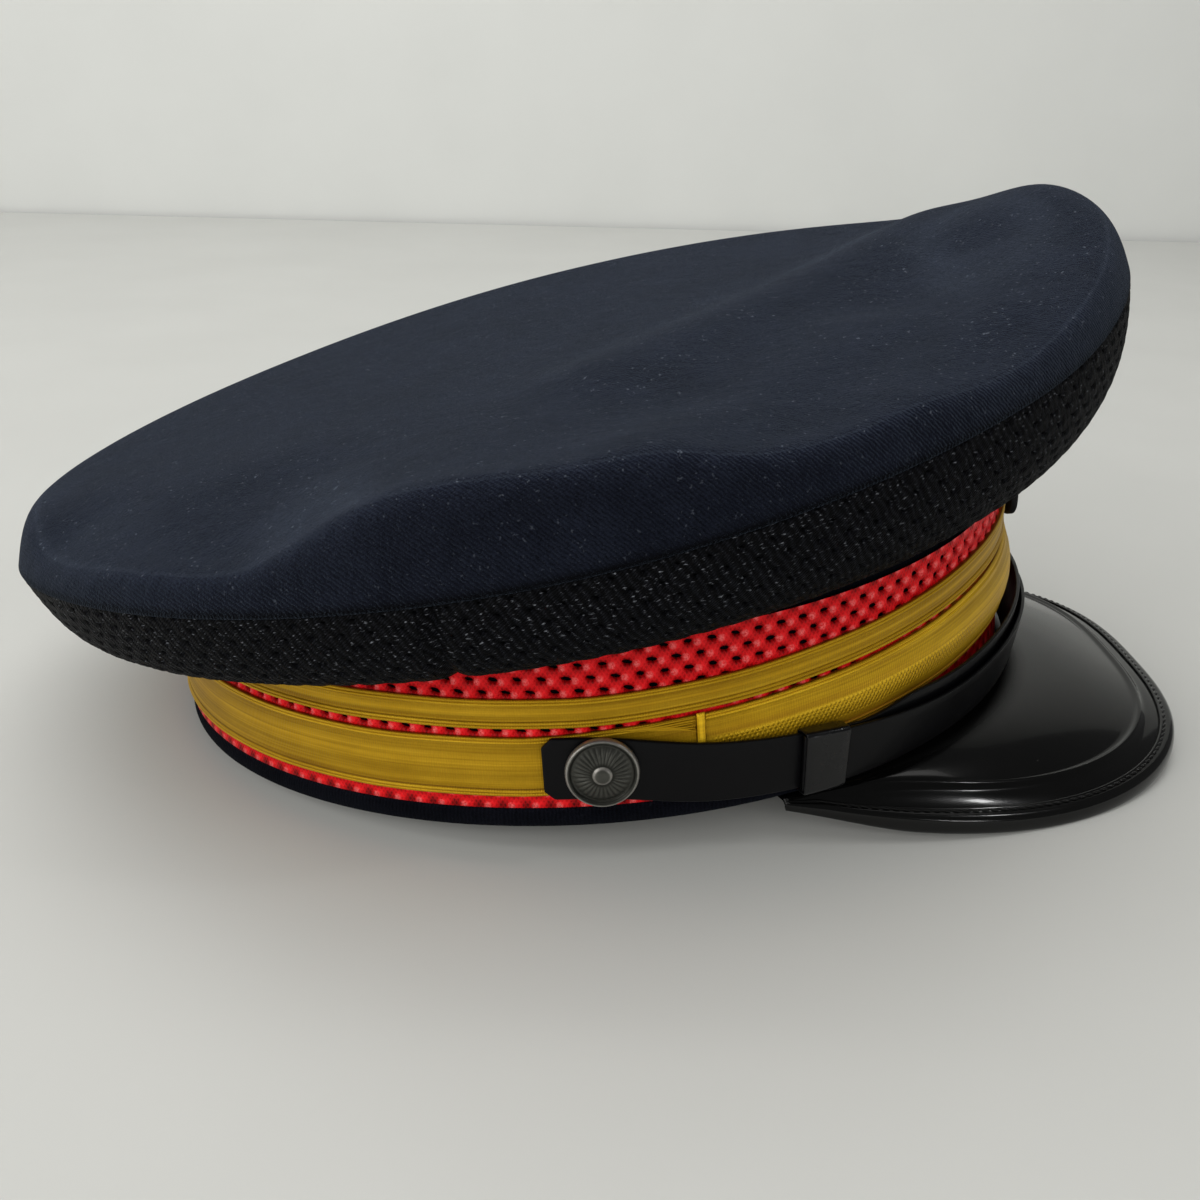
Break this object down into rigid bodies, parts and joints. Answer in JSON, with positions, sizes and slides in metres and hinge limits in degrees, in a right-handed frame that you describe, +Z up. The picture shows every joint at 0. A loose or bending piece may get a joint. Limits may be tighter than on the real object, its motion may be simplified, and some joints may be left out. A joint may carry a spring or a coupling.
{
  "type": "peaked uniform cap",
  "caption": "Peaked uniform cap with a wide navy crown, knitted black sides, a red mesh band with gold braids, a glossy black peak and a doubled chin strap.",
  "frame": {"origin": "middle of the outline at the surface that the cap lies on", "axes": "+Z up, -Y towards the front of the cap, -X towards the wearer's right"},
  "size_m": [0.228, 0.2904, 0.1297],
  "materials": {
    "crown_cloth": "navy wool twill",
    "side_knit": "black open knit",
    "band_cloth": "navy wool twill",
    "red_mesh": "shiny woven mesh",
    "gold_braid": "ribbed metallic braid",
    "peak_gloss": "polished",
    "binding_gloss": "polished, stitched",
    "strap_vinyl": "semi-gloss vinyl",
    "button_metal": "worn silver",
    "badge_backing": "matt"
  },
  "bodies": {
    "root": {"crown_top": "crown_cloth", "mesh_front": "side_knit", "mesh_rear": "side_knit", "band_base": "band_cloth", "band_mesh": "red_mesh", "gold_braid_upper": "gold_braid", "gold_braid_lower_front": "gold_braid", "gold_braid_lower_rear": "gold_braid", "peak": "peak_gloss", "peak_binding": "binding_gloss", "chin_strap_right": "strap_vinyl", "chin_strap_left": "strap_vinyl", "braid_end_right": "gold_braid", "strap_keeper_right": "strap_vinyl", "button_right": "button_metal", "braid_end_left": "gold_braid", "strap_keeper_left": "strap_vinyl", "button_left": "button_metal", "badge_pad": "badge_backing"}
  },
  "joints": []
}
